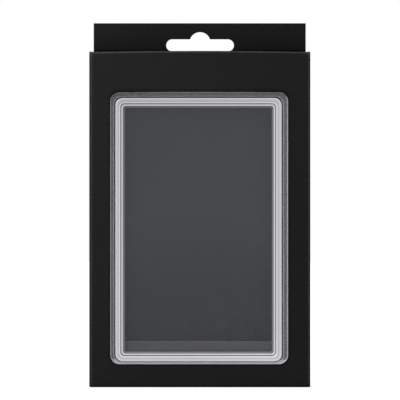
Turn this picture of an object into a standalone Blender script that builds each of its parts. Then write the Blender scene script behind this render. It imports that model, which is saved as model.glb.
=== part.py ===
"""A graded card case protector in its retail pack, in metres, with +Z up.

A black card sleeve with a window and a hang tab holds a card drawer, which slides out at
the top. A clear thermoformed tray lies in the drawer and holds the protector: two silver
frame halves closed by magnets, each with a clear pane and a soft liner, round a folded
grey card insert that stands in for the graded card case.

The front faces -Y. The pack stands on Z = 0 with its middle on X = 0 and Y = 0.
"""

import math
from collections import namedtuple

import bmesh
import bpy
from mathutils import Matrix, Vector

# Gaps between neighbouring pieces, how far a cut runs past what it cuts, and which points are one
CARD_GAP = 0.0003
CLOSE_GAP = 0.00015
CUT_OVERRUN = 0.002
WELD = 0.00001

# The graded card case that the protector is made for, and its play in the pocket
SLAB_WIDTH = 0.0825
SLAB_HEIGHT = 0.1360
SLAB_PLAY = 0.00035
POCKET_DEPTH = 0.0073

# Protector: soft liner, clear pane and silver frame, from the pocket outwards
LINER_WALL = 0.0008
LINER_PROUD = 0.0010
PANE_THICKNESS = 0.0018
FRAME_WALL = 0.0036
LIP_DEPTH = 0.0014
LIP_COVER = 0.00125
CASE_CORNER = 0.0042
OPENING_CORNER = 0.0008

# Front of each frame half, as distances in from its outer edge and down from its face
EDGE_ROUND = 0.0010
PARTING_CHAMFER = 0.00025
LAND_DISH = 0.00012
LAND_WIDTH = 0.00275
GROOVE_WIDTH = 0.0006
GROOVE_DEPTH = 0.00045
RIDGE_WIDTH = 0.0010
RIDGE_DROP = 0.0001
LIP_EDGE = 0.0004

# Magnets and the nail notches that part the two halves
MAGNET_RADIUS = 0.00125
MAGNET_DEPTH = 0.0020
MAGNET_RECESS = 0.0001
NOTCH_LENGTH = 0.0140
NOTCH_WIDTH = 0.0009
NOTCH_DEPTH = 0.0012

# Folded card insert in the pocket
INSERT_SHEET = 0.0005
INSERT_FOLD = 0.0008
INSERT_LIP = 0.0065

# Clear tray: a flange, a bead behind the window's edge, a shelf, drafted walls and a floor
TRAY_SHEET = 0.0004
TRAY_PLAY = 0.0007
CASE_SETTLE = 0.0004
FLANGE_INSET = 0.0002
FLANGE_CORNER = 0.0015
BEAD_REACH = 0.0026
BEAD_SLOPE = 0.0006
BEAD_ROUND = 0.0005
BEAD_HEIGHT = 0.0010
RIM_SHOW = 0.0001
RIM_SLOPE = 0.00025
SHELF_DROP = 0.0012
SHELF_ROUND = 0.00025
WALL_DRAFT = 0.00045
FLOOR_ROUND = 0.0005
LEDGE_WIDTH = 0.0060
FLOOR_SINK = 0.0006

# Card: board, folds, and the margins from the case to the window and on to the sleeve
BOARD = 0.0006
FOLD_RADIUS = 0.0010
WINDOW_CORNER = 0.0050
WINDOW_SIDE = 0.00316
WINDOW_END = 0.0026
WINDOW_RAISE = 0.0005
SLEEVE_LEFT = 0.01131
SLEEVE_RIGHT = 0.01207
SLEEVE_BELOW = 0.0124
SLEEVE_ABOVE = 0.0224

# Hang tab above the back panel, its slot with a raised middle, and the thumb notch
TAB_RISE = 0.0170
TAB_INSET = 0.0014
TAB_CORNER = 0.0006
SLOT_LENGTH = 0.0383
SLOT_HEIGHT = 0.0072
SLOT_LIFT = 0.0012
BUMP_RADIUS = 0.0054
BUMP_RISE = 0.0040
THUMB_RADIUS = 0.0100

# How finely round stretches are drawn
CORNER_STEPS = 7
FRAME_CORNER_STEPS = 9
ARC_STEPS = 12
MAGNET_SIDES = 20

# Sizes that follow from those above
LINER_INSET = FRAME_WALL + CLOSE_GAP
POCKET_INSET = LINER_INSET + LINER_WALL
OPENING_INSET = POCKET_INSET + LIP_COVER
POCKET_WIDTH = SLAB_WIDTH + 2 * SLAB_PLAY
POCKET_HEIGHT = SLAB_HEIGHT + 2 * SLAB_PLAY
CASE_WIDTH = POCKET_WIDTH + 2 * POCKET_INSET
CASE_HEIGHT = POCKET_HEIGHT + 2 * POCKET_INSET
PANE_DROP = LIP_DEPTH + CLOSE_GAP
HALF_DEPTH = PANE_DROP + PANE_THICKNESS + POCKET_DEPTH / 2
CASE_DEPTH = 2 * HALF_DEPTH
WINDOW_WIDTH = CASE_WIDTH + 2 * WINDOW_SIDE
WINDOW_HEIGHT = CASE_HEIGHT + 2 * WINDOW_END
SLEEVE_WIDTH = SLEEVE_LEFT + WINDOW_WIDTH + SLEEVE_RIGHT
SLEEVE_HEIGHT = SLEEVE_BELOW + WINDOW_HEIGHT + SLEEVE_ABOVE
SLEEVE_DEPTH = 3 * BOARD + 4 * CARD_GAP + CASE_DEPTH + TRAY_SHEET + FLOOR_SINK

# Depths, from the front face of the sleeve backwards
FRONT_Y = -SLEEVE_DEPTH / 2
BACK_Y = SLEEVE_DEPTH / 2
CASE_FRONT_Y = FRONT_Y + BOARD + CARD_GAP
PARTING_Y = CASE_FRONT_Y + HALF_DEPTH
TRAY_FLOOR_Y = CASE_FRONT_Y + CASE_DEPTH + CARD_GAP
FLANGE_Y = CASE_FRONT_Y + BEAD_HEIGHT
SHELF_Y = CASE_FRONT_Y + SHELF_DROP
DRAWER_BACK_Y = BACK_Y - BOARD - CARD_GAP
DRAWER_RIM_Y = FLANGE_Y + TRAY_SHEET + CARD_GAP

# Centres of the window, of the tray's pocket and of the case, which lies at its lower left
WINDOW_X = (SLEEVE_LEFT - SLEEVE_RIGHT) / 2
WINDOW_Z = SLEEVE_BELOW + WINDOW_HEIGHT / 2
POCKET_Z = WINDOW_Z - WINDOW_RAISE
CASE_X = WINDOW_X - CASE_SETTLE
CASE_Z = POCKET_Z - CASE_SETTLE

Outline = namedtuple("Outline", "x z half_x half_z corner")

CASE = Outline(0, 0, CASE_WIDTH / 2, CASE_HEIGHT / 2, CASE_CORNER)
WINDOW = Outline(WINDOW_X, WINDOW_Z, WINDOW_WIDTH / 2, WINDOW_HEIGHT / 2, WINDOW_CORNER)
TRAY_POCKET = Outline(
    WINDOW_X,
    POCKET_Z,
    CASE_WIDTH / 2 + TRAY_PLAY,
    CASE_HEIGHT / 2 + TRAY_PLAY,
    CASE_CORNER + TRAY_PLAY,
)
DRAWER = Outline(
    0,
    SLEEVE_HEIGHT / 2,
    SLEEVE_WIDTH / 2 - BOARD - CARD_GAP,
    SLEEVE_HEIGHT / 2 - CARD_GAP,
    FOLD_RADIUS,
)


def grown(outline, by):
    """The outline moved out by a distance, or in where it is negative."""
    return outline._replace(
        half_x=outline.half_x + by,
        half_z=outline.half_z + by,
        corner=max(outline.corner + by, OPENING_CORNER),
    )


def case_inset(inset):
    """The case's outline moved in. Its corner tightens evenly from the outer edge to the opening."""
    corner_share = inset / OPENING_INSET
    return CASE._replace(
        half_x=CASE.half_x - inset,
        half_z=CASE.half_z - inset,
        corner=CASE_CORNER + (OPENING_CORNER - CASE_CORNER) * corner_share,
    )


def arc(centre_x, centre_z, radius, start, end, steps):
    """Points on a circle from one angle to another, both included, in radians."""
    return [
        (
            centre_x + radius * math.cos(start + (end - start) * step / steps),
            centre_z + radius * math.sin(start + (end - start) * step / steps),
        )
        for step in range(steps + 1)
    ]


def rounded(outline, steps=CORNER_STEPS):
    """Points round a rectangle with round corners, anticlockwise from its right side."""
    reach_x = outline.half_x - outline.corner
    reach_z = outline.half_z - outline.corner
    points = []
    for quarter, (side_x, side_z) in enumerate(((1, 1), (-1, 1), (-1, -1), (1, -1))):
        start = quarter * math.pi / 2
        points += arc(
            outline.x + side_x * reach_x,
            outline.z + side_z * reach_z,
            outline.corner,
            start,
            start + math.pi / 2,
            steps,
        )
    return points


def clear_scene():
    for obj in list(bpy.data.objects):
        bpy.data.objects.remove(obj)


def new_collection(name):
    collection = bpy.data.collections.new(name)
    bpy.context.scene.collection.children.link(collection)
    return collection


def material(name, colour, roughness, metallic=0.0, alpha=1.0):
    made = bpy.data.materials.new(name)
    made.use_nodes = True
    shader = made.node_tree.nodes["Principled BSDF"]
    shader.inputs["Base Color"].default_value = (*colour, 1.0)
    shader.inputs["Roughness"].default_value = roughness
    shader.inputs["Metallic"].default_value = metallic
    shader.inputs["Alpha"].default_value = alpha
    made.diffuse_color = (*colour, alpha)
    made.roughness = roughness
    made.metallic = metallic
    return made


def carrier(name, location, parent=None):
    """An empty that carries the pieces of one moving body, in world coordinates."""
    empty = bpy.data.objects.new(name, None)
    empty.empty_display_size = CASE_CORNER
    PARTS.objects.link(empty)
    empty.parent = parent
    empty.location = Vector(location) - (parent.matrix_world.translation if parent else Vector())
    bpy.context.view_layer.update()
    return empty


def piece(name, mesh, finish, parent=None):
    """A named object for one sub-part, shaded smooth apart from its sharp edges."""
    mesh.name = name
    mesh.materials.append(finish)
    mesh.shade_smooth()
    mesh.set_sharp_from_angle(angle=math.radians(35))
    obj = bpy.data.objects.new(name, mesh)
    obj.parent = parent
    PARTS.objects.link(obj)
    return obj


def cut(obj, name, mesh, operation="DIFFERENCE", solver="EXACT"):
    """Cuts a helper mesh from an object, or joins it on, with a Boolean modifier."""
    helper = bpy.data.objects.new(name, mesh)
    helper.parent = obj.parent
    helper.display_type = "WIRE"
    helper.hide_render = True
    CUTTERS.objects.link(helper)
    modifier = obj.modifiers.new(name, "BOOLEAN")
    modifier.operation = operation
    modifier.solver = solver
    modifier.object = helper


def mesh_from(bm, name):
    mesh = bpy.data.meshes.new(name)
    bm.to_mesh(mesh)
    bm.free()
    return mesh


def box_mesh(name, low, high):
    """A box between two corners."""
    low, high = Vector(low), Vector(high)
    bm = bmesh.new()
    size = high - low
    place = Matrix.Translation((low + high) / 2) @ Matrix.Diagonal((*size, 1))
    bmesh.ops.create_cube(bm, size=1, matrix=place)
    return mesh_from(bm, name)


def add_cylinder(bm, centre, radius, depth, sides):
    """A cylinder along Y round a centre."""
    place = Matrix.Translation(centre) @ Matrix.Rotation(math.pi / 2, 4, "X")
    bmesh.ops.create_cone(
        bm,
        cap_ends=True,
        segments=sides,
        radius1=radius,
        radius2=radius,
        depth=depth,
        matrix=place,
    )


def outline_mesh(name, outlines, thickness, turn):
    """A plate between closed outlines, made as a filled flat curve and then turned into place."""
    curve = bpy.data.curves.new(name, "CURVE")
    curve.dimensions = "2D"
    curve.fill_mode = "BOTH"
    curve.extrude = thickness / 2
    for points in outlines:
        spline = curve.splines.new("POLY")
        spline.points.add(len(points) - 1)
        spline.use_cyclic_u = True
        for point, (across, up) in zip(spline.points, points):
            point.co = (across, up, 0, 1)
    flat = bpy.data.objects.new(name, curve)
    bpy.context.scene.collection.objects.link(flat)
    evaluated = flat.evaluated_get(bpy.context.evaluated_depsgraph_get())
    mesh = bpy.data.meshes.new_from_object(evaluated)
    bpy.data.objects.remove(flat)
    bm = bmesh.new()
    bm.from_mesh(mesh)
    bmesh.ops.remove_doubles(bm, verts=bm.verts, dist=WELD)
    bmesh.ops.transform(bm, matrix=turn, verts=bm.verts)
    bmesh.ops.recalc_face_normals(bm, faces=bm.faces)
    bm.to_mesh(mesh)
    bm.free()
    return mesh


def upright(y):
    """Turns a flat outline up to face -Y, with its middle at a depth y."""
    return Matrix.Translation((0, y, 0)) @ Matrix.Rotation(math.pi / 2, 4, "X")


def add_loft(bm, rings, steps, around=False):
    """Skins the rings given as (outline, y) in turn, and the last to the first with around."""
    loops = [[bm.verts.new((x, y, z)) for x, z in rounded(outline, steps)] for outline, y in rings]
    following = loops[1:] + loops[:1] if around else loops[1:]
    for first, second in zip(loops, following):
        for i in range(len(first)):
            bm.faces.new((first[i - 1], first[i], second[i], second[i - 1]))
    return loops


def closed_ring_mesh(name, profile, steps):
    """A ring-shaped solid whose closed profile is lofted round the case."""
    bm = bmesh.new()
    add_loft(bm, profile, steps, around=True)
    bmesh.ops.recalc_face_normals(bm, faces=bm.faces)
    return mesh_from(bm, name)


def dish_mesh(name, rings, steps, floor_facing):
    """An open dish: lofted rings with the last one filled. Its floor faces -Y or +Y."""
    bm = bmesh.new()
    loops = add_loft(bm, rings, steps)
    floor = bm.faces.new(loops[-1])
    bmesh.ops.recalc_face_normals(bm, faces=bm.faces)
    if floor.normal.y * floor_facing < 0:
        bmesh.ops.reverse_faces(bm, faces=bm.faces)
    return mesh_from(bm, name)


def add_sheet_thickness(obj, thickness):
    """Gives an open surface its thickness, behind the side that it faces."""
    modifier = obj.modifiers.new("sheet", "SOLIDIFY")
    modifier.thickness = thickness
    modifier.offset = -1
    modifier.use_even_offset = True


def slot_outline(middle_z):
    """The hang slot: round ends, and a round bump that rises from the middle of its top."""
    end_radius = SLOT_HEIGHT / 2
    reach = SLOT_LENGTH / 2 - end_radius
    top = middle_z + end_radius
    bump_z = top + BUMP_RISE - BUMP_RADIUS
    lean = math.asin((top - bump_z) / BUMP_RADIUS)
    points = arc(reach, middle_z, end_radius, -math.pi / 2, math.pi / 2, ARC_STEPS)
    points += arc(0, bump_z, BUMP_RADIUS, lean, math.pi - lean, ARC_STEPS)
    points += arc(-reach, middle_z, end_radius, math.pi / 2, 3 * math.pi / 2, ARC_STEPS)
    return points


def make_sleeve(card):
    """The sleeve: a folded tube of card with the window, and the back panel raised as a hang tab."""
    outer = Outline(0, 0, SLEEVE_WIDTH / 2, SLEEVE_DEPTH / 2, FOLD_RADIUS)
    inner = outer._replace(
        half_x=outer.half_x - BOARD, half_z=outer.half_z - BOARD, corner=FOLD_RADIUS - BOARD
    )
    raised = Matrix.Translation((0, 0, SLEEVE_HEIGHT / 2))
    tube = outline_mesh("sleeve", [rounded(outer), rounded(inner)], SLEEVE_HEIGHT, raised)
    sleeve = piece("sleeve", tube, card)

    # The tab's plate reaches as far down into the back panel as it stands above it
    root = SLEEVE_HEIGHT - TAB_RISE
    top = SLEEVE_HEIGHT + TAB_RISE
    tab = Outline(
        0, (root + top) / 2, SLEEVE_WIDTH / 2 - TAB_INSET, (top - root) / 2, TAB_CORNER
    )
    slot = slot_outline(SLEEVE_HEIGHT + SLOT_LIFT + SLOT_HEIGHT / 2)
    panel = outline_mesh("hang_tab", [rounded(tab), slot], BOARD, upright(BACK_Y - BOARD / 2))
    cut(sleeve, "hang_tab", panel, operation="UNION")

    window = outline_mesh(
        "window_cut", [rounded(WINDOW)], BOARD + 2 * CUT_OVERRUN, upright(FRONT_Y + BOARD / 2)
    )
    cut(sleeve, "window_cut", window)

    bm = bmesh.new()
    add_cylinder(
        bm, (0, BACK_Y - BOARD / 2, 0), THUMB_RADIUS, BOARD + 2 * CUT_OVERRUN, 4 * ARC_STEPS
    )
    cut(sleeve, "thumb_cut", mesh_from(bm, "thumb_cut"))


def make_drawer(card, slide):
    """The drawer: a shallow card tray, open to the front, whose walls carry the clear tray."""
    fold_reach = FOLD_RADIUS * (1 - math.sqrt(0.5))
    rings = [
        (DRAWER, DRAWER_RIM_Y),
        (DRAWER, DRAWER_BACK_Y - FOLD_RADIUS),
        (grown(DRAWER, -fold_reach), DRAWER_BACK_Y - fold_reach),
        (grown(DRAWER, -FOLD_RADIUS), DRAWER_BACK_Y),
    ]
    drawer = piece("drawer", dish_mesh("drawer", rings, CORNER_STEPS, 1), card, slide)
    add_sheet_thickness(drawer, BOARD)


def make_clear_tray(clear, slide):
    """The thermoformed tray: flange, bead, shelf, drafted walls, and a floor with a sunk middle."""
    crown = CASE_FRONT_Y
    shoulder = crown + BEAD_ROUND
    wall = grown(TRAY_POCKET, WALL_DRAFT)
    ledge = grown(TRAY_POCKET, -LEDGE_WIDTH)
    rings = [
        (grown(DRAWER, -FLANGE_INSET)._replace(corner=FLANGE_CORNER), FLANGE_Y),
        (grown(WINDOW, BEAD_REACH + BEAD_SLOPE), FLANGE_Y),
        (grown(WINDOW, BEAD_REACH), shoulder),
        (grown(WINDOW, BEAD_REACH - BEAD_ROUND), crown),
        (grown(WINDOW, BEAD_ROUND - RIM_SHOW), crown),
        (grown(WINDOW, -RIM_SHOW), shoulder),
        (grown(WINDOW, -RIM_SHOW - RIM_SLOPE), SHELF_Y),
        (grown(wall, SHELF_ROUND), SHELF_Y),
        (wall, SHELF_Y + SHELF_ROUND),
        (TRAY_POCKET, TRAY_FLOOR_Y - FLOOR_ROUND),
        (grown(TRAY_POCKET, -FLOOR_ROUND), TRAY_FLOOR_Y),
        (ledge, TRAY_FLOOR_Y),
        (grown(ledge, -FLOOR_SINK), TRAY_FLOOR_Y + FLOOR_SINK),
    ]
    tray = piece("clear_tray", dish_mesh("clear_tray", rings, CORNER_STEPS, -1), clear, slide)
    add_sheet_thickness(tray, TRAY_SHEET)


def frame_profile():
    """The frame half's closed profile as (inset, drop) from its outer edge and its face."""
    corner_share = 1 - math.sqrt(0.5)
    groove_side_share = 1 / 3
    ridge_side_share = 1 / 4
    parting = HALF_DEPTH - CLOSE_GAP / 2
    groove_side = GROOVE_WIDTH * groove_side_share
    ridge = LAND_WIDTH + GROOVE_WIDTH
    ridge_side = RIDGE_WIDTH * ridge_side_share
    slope = ridge + RIDGE_WIDTH
    return [
        (PARTING_CHAMFER, parting),
        (0, parting - PARTING_CHAMFER),
        (0, EDGE_ROUND),
        (EDGE_ROUND * corner_share, EDGE_ROUND * corner_share),
        (EDGE_ROUND, 0),
        ((EDGE_ROUND + LAND_WIDTH) / 2, LAND_DISH),
        (LAND_WIDTH - groove_side, 0),
        (LAND_WIDTH, LAND_DISH),
        (LAND_WIDTH + groove_side, GROOVE_DEPTH),
        (ridge - groove_side, GROOVE_DEPTH),
        (ridge, RIDGE_DROP + ridge_side),
        (ridge + ridge_side, RIDGE_DROP),
        (slope - ridge_side, RIDGE_DROP),
        (slope, RIDGE_DROP + ridge_side),
        (OPENING_INSET, LIP_DEPTH - LIP_EDGE),
        (OPENING_INSET, LIP_DEPTH),
        (FRAME_WALL, LIP_DEPTH),
        (FRAME_WALL, parting),
    ]


def magnet_places():
    """Where the magnets stand, by name: the four corners and the middles of the long sides."""
    bore_wall = case_inset(FRAME_WALL)
    diagonal_share = 1 - math.sqrt(0.5)
    outer_reach = CASE_CORNER * diagonal_share
    inner_reach = FRAME_WALL + bore_wall.corner * diagonal_share
    corner = (outer_reach + inner_reach) / 2
    side_x = {"left": -1, "right": 1}
    rows = {"top": 1, "middle": 0, "bottom": -1}
    return {
        f"{row}_{side}": (
            side_x[side] * (CASE.half_x - (corner if rows[row] else FRAME_WALL / 2)),
            rows[row] * (CASE.half_z - corner),
        )
        for row in rows
        for side in side_x
    }


def make_half(name, facing, finishes, lift):
    """One half of the protector: frame, pane, liner and magnets. facing is -1 at the front."""

    def depth(drop):
        return facing * (HALF_DEPTH - drop)

    profile = [(case_inset(inset), depth(drop)) for inset, drop in frame_profile()]
    frame = closed_ring_mesh(f"{name}_frame", profile, FRAME_CORNER_STEPS)
    frame = piece(f"{name}_frame", frame, finishes["silver"], lift)

    magnet_y = facing * (CLOSE_GAP / 2 + MAGNET_RECESS + MAGNET_DEPTH / 2)
    hole_depth = MAGNET_DEPTH + 2 * CLOSE_GAP + 2 * MAGNET_RECESS
    holes = bmesh.new()
    for x, z in magnet_places().values():
        add_cylinder(
            holes, (x, magnet_y, z), MAGNET_RADIUS + CLOSE_GAP, hole_depth, MAGNET_SIDES
        )
    # These cuts meet the loft's edges at nearly a point, where the exact solver leaves cracks
    holes = mesh_from(holes, f"{name}_magnet_holes")
    cut(frame, f"{name}_magnet_holes", holes, solver="MANIFOLD")

    for end, end_z in (("top", CASE.half_z), ("bottom", -CASE.half_z)):
        outward = math.copysign(1, end_z)
        near = (-NOTCH_LENGTH / 2, facing * NOTCH_DEPTH / 2, end_z - outward * NOTCH_WIDTH)
        far = (NOTCH_LENGTH / 2, -facing * CUT_OVERRUN, end_z + outward * CUT_OVERRUN)
        low = [min(pair) for pair in zip(near, far)]
        high = [max(pair) for pair in zip(near, far)]
        notch = box_mesh(f"{name}_notch_{end}", low, high)
        cut(frame, f"{name}_notch_{end}", notch, solver="MANIFOLD")

    pane_edge = case_inset(LINER_INSET)
    pane_middle = depth(PANE_DROP + PANE_THICKNESS / 2)
    pane = outline_mesh(f"{name}_pane", [rounded(pane_edge)], PANE_THICKNESS, upright(pane_middle))
    piece(f"{name}_pane", pane, finishes["pane"], lift)

    # The rear liner stands proud of the parting plane and finds the front half, whose liner is shorter
    pane_face = PANE_DROP + PANE_THICKNESS + CLOSE_GAP
    liner_end = HALF_DEPTH + LINER_PROUD * facing - (CLOSE_GAP if facing < 0 else 0)
    liner_rings = [
        (case_inset(LINER_INSET), depth(pane_face)),
        (case_inset(LINER_INSET), depth(liner_end)),
        (case_inset(POCKET_INSET), depth(liner_end)),
        (case_inset(POCKET_INSET), depth(pane_face)),
    ]
    liner = closed_ring_mesh(f"{name}_liner", liner_rings, CORNER_STEPS)
    piece(f"{name}_liner", liner, finishes["liner"], lift)

    disc = bmesh.new()
    add_cylinder(disc, (0, 0, 0), MAGNET_RADIUS, MAGNET_DEPTH, MAGNET_SIDES)
    disc = mesh_from(disc, f"{name}_magnet")
    for place, (x, z) in magnet_places().items():
        magnet = piece(f"{name}_magnet_{place}", disc, finishes["magnet"], lift)
        magnet.location = (x, magnet_y, z)


def make_insert(card, lift):
    """The insert: one sheet folded into a back, a foot and a short turned-up lip."""
    # The card's square corners stay clear of the round corners of the liners
    corner_share = 1 - math.sqrt(0.5)
    play = case_inset(POCKET_INSET).corner * corner_share + CLOSE_GAP
    reach = POCKET_DEPTH / 2 - CARD_GAP
    low = play - POCKET_HEIGHT / 2
    bend = INSERT_FOLD
    path = [(reach, POCKET_HEIGHT / 2 - play)]
    path += arc(reach - bend, low + bend, bend, 0, -math.pi / 2, CORNER_STEPS)
    path += arc(bend - reach, low + bend, bend, -math.pi / 2, -math.pi, CORNER_STEPS)
    path.append((-reach, low + INSERT_LIP))

    bm = bmesh.new()
    left = play - POCKET_WIDTH / 2
    verts = [bm.verts.new((left, y, z)) for y, z in path]
    edges = [bm.edges.new(pair) for pair in zip(verts, verts[1:])]
    swept = bmesh.ops.extrude_edge_only(bm, edges=edges)["geom"]
    ends = [part for part in swept if isinstance(part, bmesh.types.BMVert)]
    bmesh.ops.translate(bm, verts=ends, vec=(-2 * left, 0, 0))
    bmesh.ops.recalc_face_normals(bm, faces=bm.faces)
    back = max(bm.faces, key=lambda face: face.calc_area())
    if back.normal.y < 0:
        bmesh.ops.reverse_faces(bm, faces=bm.faces)
    insert = piece("insert_card", mesh_from(bm, "insert_card"), card, lift)
    add_sheet_thickness(insert, INSERT_SHEET)


clear_scene()
PARTS = new_collection("graded_card_case_protector")
CUTTERS = new_collection("cutters")

black_card = material("black_card", (0.014, 0.014, 0.015), 0.55)
clear_sheet = material("clear_sheet", (0.85, 0.87, 0.88), 0.08, alpha=0.3)
grey_card = material("grey_card", (0.060, 0.062, 0.066), 0.60)
finishes = {
    "silver": material("silver", (0.60, 0.60, 0.63), 0.30, metallic=1.0),
    "pane": material("clear_pane", (0.90, 0.91, 0.92), 0.05, alpha=0.2),
    "liner": material("soft_liner", (0.030, 0.030, 0.032), 0.70),
    "magnet": material("plated_magnet", (0.55, 0.55, 0.56), 0.25, metallic=1.0),
}

drawer_slide = carrier("drawer_slide", (0, 0, 0))
case_lift = carrier("case_lift", (CASE_X, PARTING_Y, CASE_Z), drawer_slide)
front_half_lift = carrier("front_half_lift", (CASE_X, PARTING_Y, CASE_Z), case_lift)
insert_lift = carrier("insert_lift", (CASE_X, PARTING_Y, CASE_Z), case_lift)

make_sleeve(black_card)
make_drawer(black_card, drawer_slide)
make_clear_tray(clear_sheet, drawer_slide)
make_half("rear", 1, finishes, case_lift)
make_half("front", -1, finishes, front_half_lift)
make_insert(grey_card, insert_lift)
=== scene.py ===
from math import cos, pi, radians, sin

import bmesh
import bpy
import numpy as np
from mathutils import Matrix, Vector


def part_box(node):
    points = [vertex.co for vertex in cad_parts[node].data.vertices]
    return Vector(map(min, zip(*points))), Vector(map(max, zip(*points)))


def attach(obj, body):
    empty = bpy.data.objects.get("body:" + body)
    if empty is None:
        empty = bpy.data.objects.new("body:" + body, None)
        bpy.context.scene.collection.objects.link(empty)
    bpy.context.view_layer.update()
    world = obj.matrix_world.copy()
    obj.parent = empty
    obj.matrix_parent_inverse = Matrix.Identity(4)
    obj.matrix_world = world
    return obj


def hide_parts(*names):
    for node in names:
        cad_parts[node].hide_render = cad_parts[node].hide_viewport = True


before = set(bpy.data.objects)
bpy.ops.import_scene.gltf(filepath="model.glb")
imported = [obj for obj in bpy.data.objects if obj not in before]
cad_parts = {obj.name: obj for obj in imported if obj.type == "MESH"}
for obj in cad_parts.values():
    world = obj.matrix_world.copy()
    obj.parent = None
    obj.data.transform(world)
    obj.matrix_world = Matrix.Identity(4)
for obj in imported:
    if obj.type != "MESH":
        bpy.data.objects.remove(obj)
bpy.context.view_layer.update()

scene = bpy.context.scene

# Camera.
# The pack is seen square on from a metre away, with the lens level with its middle, so only
# its front shows.
CAMERA_PLACE = (0.0001, -1.009, 0.1035)
CAMERA_LENS = 163.1
LEVEL = (pi / 2, 0, 0)

camera = bpy.data.objects.new("camera", bpy.data.cameras.new("camera"))
camera.data.lens = CAMERA_LENS
camera.location = CAMERA_PLACE
camera.rotation_euler = LEVEL
scene.collection.objects.link(camera)
scene.camera = camera
scene.view_settings.view_transform = "Standard"


# Studio.
# A pale floor in a white room with soft lamps. What a shiny face mirrors is dimmer round the
# lens, dimmest under it, where the camera's stand is, and white behind the pack. Light Path
# keeps the background white.
FILL_LOW = 0.05
FILL_HIGH = 1.0
ROOM_LEVEL = 0.9
LENS_LEVEL = 0.635
LENS_CORE = radians(8)
LENS_EDGE = radians(17)
STAND_SHARE = 0.70
STAND_DROP = radians(-7)
STAND_CORE = radians(2.5)
STAND_EDGE = radians(7)
BEHIND_EDGE = 0.2
FLOOR_HALF = 0.6
FLOOR_FRONT = -0.12
FLOOR_BACK = 2.0
FLOOR_PALE = (0.72, 0.72, 0.72, 1)
FLOOR_DIM = (0.68, 0.68, 0.68, 1)
FLOOR_GLOW = 0.62
FLOOR_MIRRORED = 0.4
FLOOR_GRAIN = 40.0
SMOOTH_ANGLE = radians(35)
LAMPS = {
    "lamp_above_lens": ((-0.45, -0.9, 0.9), 3.0, 5.0),
    "lamp_left": ((-1.2, -0.7, 0.35), 2.4, 5.0),
}


def node(tree, kind, inputs=None, **settings):
    """Adds a shader node. settings are its own choices, and inputs gives each of its sockets,
    by name or number, a value or the output that feeds it."""
    made = tree.nodes.new("ShaderNode" + kind)
    for setting, value in settings.items():
        setattr(made, setting, value)
    for socket, value in (inputs or {}).items():
        if isinstance(value, bpy.types.NodeSocket):
            tree.links.new(value, made.inputs[socket])
        else:
            made.inputs[socket].default_value = value
    return made


def worked(tree, operation, *values):
    """The output of a Math node: the operation done on the values or outputs given."""
    return node(tree, "Math", dict(enumerate(values)), operation=operation).outputs[0]


def spread(tree, value, low, high, to_low, to_high, how="SMOOTHSTEP"):
    """The output of a Map Range node: value, from low to high, becomes to_low to to_high."""
    limits = {0: value, 1: low, 2: high, 3: to_low, 4: to_high}
    return node(tree, "MapRange", limits, interpolation_type=how).outputs[0]


def lay(points, faces, name, uv=None):
    """Makes a mesh object of points and faces, with the corner coordinates uv, shaded smooth
    except where two faces meet at more than SMOOTH_ANGLE."""
    mesh = bpy.data.meshes.new(name)
    mesh.from_pydata(np.asarray(points).tolist(), [], faces)
    if uv is not None:
        mesh.uv_layers.new(name="UVMap").data.foreach_set("uv", np.ravel(uv))
    mesh.shade_smooth()
    mesh.set_sharp_from_angle(angle=SMOOTH_ANGLE)
    made = bpy.data.objects.new(name, mesh)
    scene.collection.objects.link(made)
    return made


room = bpy.data.worlds.new("studio")
room.use_nodes = True
scene.world = room
tree = room.node_tree
tree.nodes.clear()
look = node(tree, "TexCoord").outputs["Generated"]
look_axes = node(tree, "SeparateXYZ", {0: look}).outputs
stand = (0, -cos(STAND_DROP), sin(STAND_DROP))
to_stand = node(tree, "VectorMath", {0: look, 1: stand}, operation="DOT_PRODUCT").outputs["Value"]
by_lens = spread(tree, look_axes[1], -cos(LENS_CORE), -cos(LENS_EDGE), LENS_LEVEL, ROOM_LEVEL)
by_stand = spread(tree, to_stand, cos(STAND_EDGE), cos(STAND_CORE), 1.0, STAND_SHARE)
behind = spread(tree, look_axes[1], 0.0, BEHIND_EDGE, 0.0, 1.0)
mirrored = worked(tree, "MAXIMUM", worked(tree, "MULTIPLY", by_lens, by_stand), behind)
ray = node(tree, "LightPath").outputs
bent = worked(tree, "MAXIMUM", ray["Is Glossy Ray"], ray["Is Transmission Ray"])
fill = spread(tree, look_axes[2], -1.0, 1.0, FILL_LOW, FILL_HIGH, "LINEAR")
level = node(tree, "Mix", {0: bent, 2: fill, 3: mirrored}, data_type="FLOAT").outputs[0]
level = worked(tree, "MAXIMUM", level, ray["Is Camera Ray"])
sky = node(tree, "Background", {"Color": (1, 1, 1, 1), "Strength": level})
node(tree, "OutputWorld", {"Surface": sky.outputs[0]})

for name, (place, size, power) in LAMPS.items():
    lamp = bpy.data.objects.new(name, bpy.data.lights.new(name, "AREA"))
    lamp.data.size = size
    lamp.data.energy = power
    lamp.location = place
    aim = Vector(CAMERA_PLACE) * Vector((0, 0, 1)) - Vector(place)
    lamp.rotation_euler = aim.to_track_quat("-Z", "Y").to_euler()
    scene.collection.objects.link(lamp)

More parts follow.
